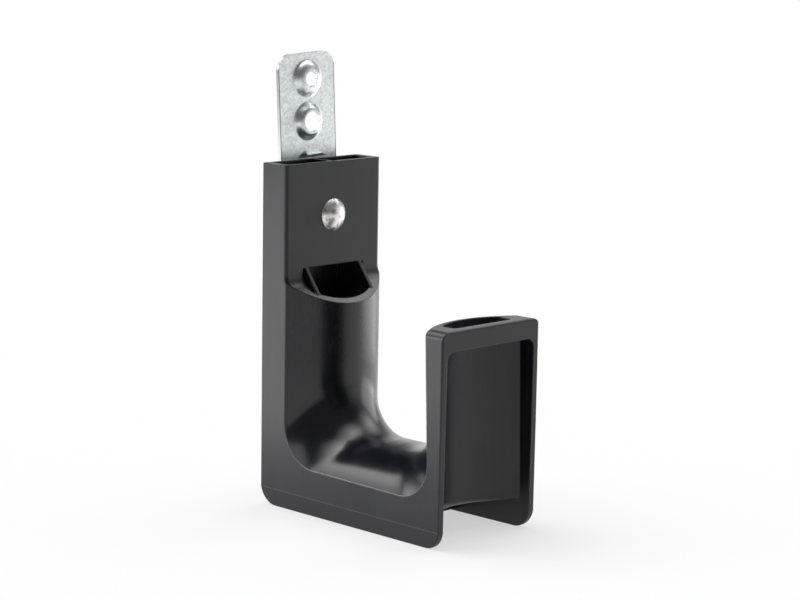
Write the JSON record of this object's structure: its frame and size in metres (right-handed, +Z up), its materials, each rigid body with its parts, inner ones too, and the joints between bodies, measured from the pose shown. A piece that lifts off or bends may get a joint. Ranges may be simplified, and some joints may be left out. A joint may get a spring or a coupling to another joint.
{
  "type": "cable j-hook",
  "caption": "Cable support hook: wide moulded saddle on two side flanges with a slotted front post, riveted to a steel strip with screw holes for the wall.",
  "frame": {"origin": "centre of the larger screw hole, on the plane of the wall behind the steel strip", "axes": "+Z up, +Y into the wall, -Y out along the hook to its front post"},
  "size_m": [0.0452, 0.0856, 0.152],
  "materials": {
    "nylon": "dark grey moulded nylon, satin",
    "galvanised_steel": "galvanised, fine spangle",
    "rivet_steel": "zinc plated, slightly tarnished"
  },
  "bodies": {
    "root": {"hook_body": "nylon", "wall_bracket": "galvanised_steel", "rivet": "rivet_steel"}
  },
  "joints": []
}
